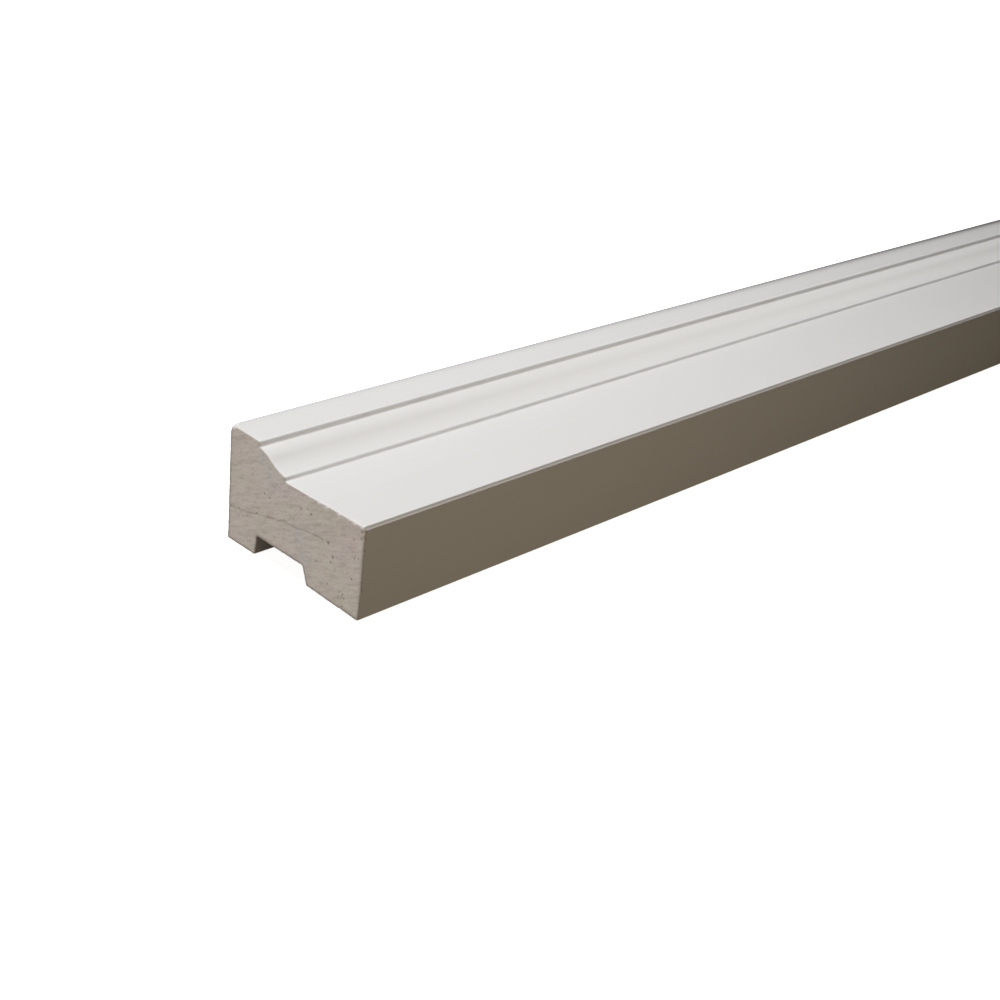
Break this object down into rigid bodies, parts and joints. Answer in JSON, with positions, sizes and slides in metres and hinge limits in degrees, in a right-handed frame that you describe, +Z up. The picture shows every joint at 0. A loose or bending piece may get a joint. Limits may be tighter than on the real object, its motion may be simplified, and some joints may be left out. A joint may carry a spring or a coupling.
{
  "type": "brick moulding",
  "caption": "Straight length of exterior door and window trim: flat top, ogee between two small steps, broad face and a relieved back, cut square at both ends.",
  "frame": {"origin": "middle of the length and of the width, on the plane that the back's feet rest on", "axes": "+X along the length, +Y towards the thick edge, +Z up out of the moulded front"},
  "size_m": [0.4064, 0.0508, 0.0317],
  "materials": {
    "white_pvc": "satin white extruded skin on the long faces; bare sawn foam, greyer and pitted, on the cut ends"
  },
  "bodies": {
    "root": {"brick_moulding": "white_pvc"}
  },
  "joints": []
}
